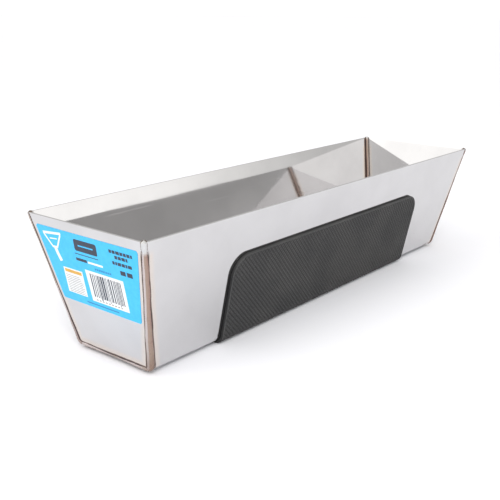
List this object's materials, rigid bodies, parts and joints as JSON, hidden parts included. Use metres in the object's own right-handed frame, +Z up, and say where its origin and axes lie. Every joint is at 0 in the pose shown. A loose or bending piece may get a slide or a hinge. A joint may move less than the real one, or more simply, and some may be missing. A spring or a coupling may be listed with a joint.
{
  "type": "mud pan",
  "caption": "Open trapezoidal trough of folded stainless steel with welded end plates, a wrap-round rubber grip and a printed end label, for holding joint compound.",
  "frame": {"origin": "on the ground, in the middle under the rubber grip, which is the centre of the bounding box's bottom face", "axes": "+X along the pan towards the end without the label, -Y towards the front long wall, +Z up"},
  "size_m": [0.3572, 0.0966, 0.082],
  "materials": {
    "trough_steel": "bright satin",
    "end_plate_steel": "bright satin",
    "weld_metal": "heat tinted",
    "grip_rubber": "ribbed matt",
    "adhesive_film": "matt",
    "label_print": "printed gloss"
  },
  "bodies": {
    "root": {"trough": "trough_steel", "left_end_plate": "end_plate_steel", "right_end_plate": "end_plate_steel", "left_front_weld": "weld_metal", "left_floor_weld": "weld_metal", "left_back_weld": "weld_metal", "right_front_weld": "weld_metal", "right_floor_weld": "weld_metal", "right_back_weld": "weld_metal", "grip": "grip_rubber", "grip_adhesive": "adhesive_film", "label": "label_print"}
  },
  "joints": []
}
